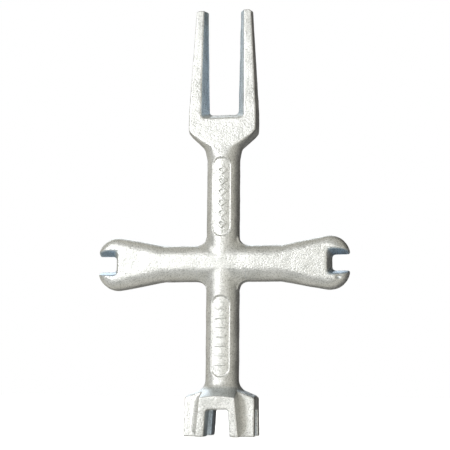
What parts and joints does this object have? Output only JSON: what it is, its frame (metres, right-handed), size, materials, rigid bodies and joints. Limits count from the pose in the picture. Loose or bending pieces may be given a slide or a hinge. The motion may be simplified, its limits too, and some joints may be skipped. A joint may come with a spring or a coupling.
{
  "type": "four-way cast plumber's wrench",
  "caption": "Cross-shaped cast wrench: two-pronged fork on top, a notched jaw on each arm, and a lobed head with cross slots at the foot.",
  "frame": {"origin": "on the shank's axis, in the plane of the head's lug ends", "axes": "+Z along the shank towards the prongs; X along the arms; the marked front of the shank faces -Y"},
  "size_m": [0.1268, 0.0346, 0.216],
  "materials": {
    "zinc_plated_casting": "zinc plate over a fine sand-cast grain, satin"
  },
  "bodies": {
    "root": {"shank_upper": "zinc_plated_casting", "shank_lower": "zinc_plated_casting", "upper_marks": "zinc_plated_casting", "lower_marks": "zinc_plated_casting", "hub": "zinc_plated_casting", "arm_left": "zinc_plated_casting", "arm_right": "zinc_plated_casting", "jaw_left_upper": "zinc_plated_casting", "jaw_left_lower": "zinc_plated_casting", "jaw_right_upper": "zinc_plated_casting", "jaw_right_lower": "zinc_plated_casting", "fork_yoke": "zinc_plated_casting", "prong_left": "zinc_plated_casting", "prong_right": "zinc_plated_casting", "head_crown": "zinc_plated_casting", "lug_front_left": "zinc_plated_casting", "lug_front_right": "zinc_plated_casting", "lug_back_left": "zinc_plated_casting", "lug_back_right": "zinc_plated_casting"}
  },
  "joints": []
}
